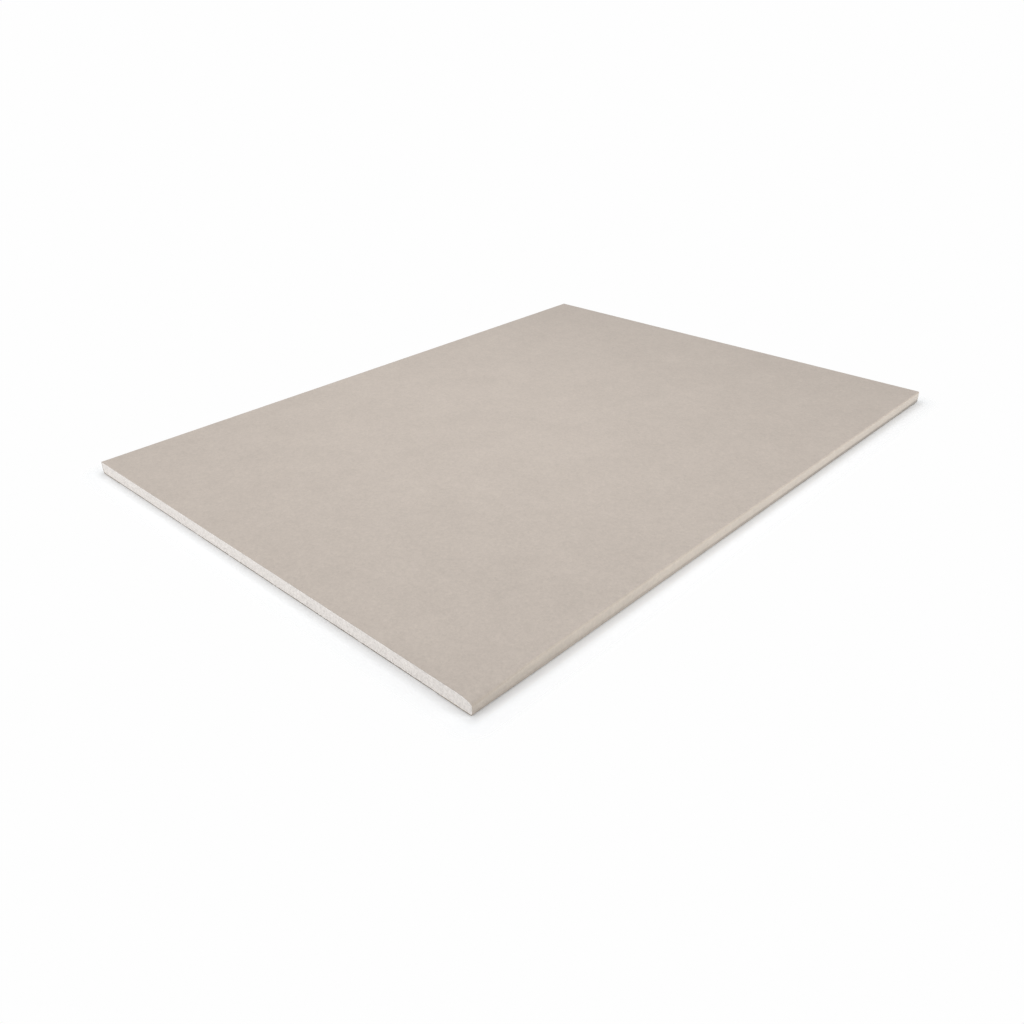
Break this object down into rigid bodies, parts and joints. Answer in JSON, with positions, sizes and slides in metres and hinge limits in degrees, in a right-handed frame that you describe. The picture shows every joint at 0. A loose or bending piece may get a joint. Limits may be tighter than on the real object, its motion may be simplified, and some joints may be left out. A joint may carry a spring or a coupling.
{
  "type": "drywall sheet",
  "caption": "Rectangular sheet of gypsum board: a white core between two paper liners, with rounded, paper-wrapped long edges and square-cut ends that show the core.",
  "frame": {"origin": "centre of the back of the sheet, on the surface that it lies on", "axes": "+X across the sheet between its wrapped edges, +Y along it between its cut ends, +Z from the back to the face"},
  "size_m": [0.6, 0.8, 0.015],
  "materials": {
    "gypsum": "matte",
    "face_paper": "matte",
    "back_paper": "matte"
  },
  "bodies": {
    "root": {"gypsum_core": "gypsum", "face_paper": "face_paper", "back_paper": "back_paper"}
  },
  "joints": []
}
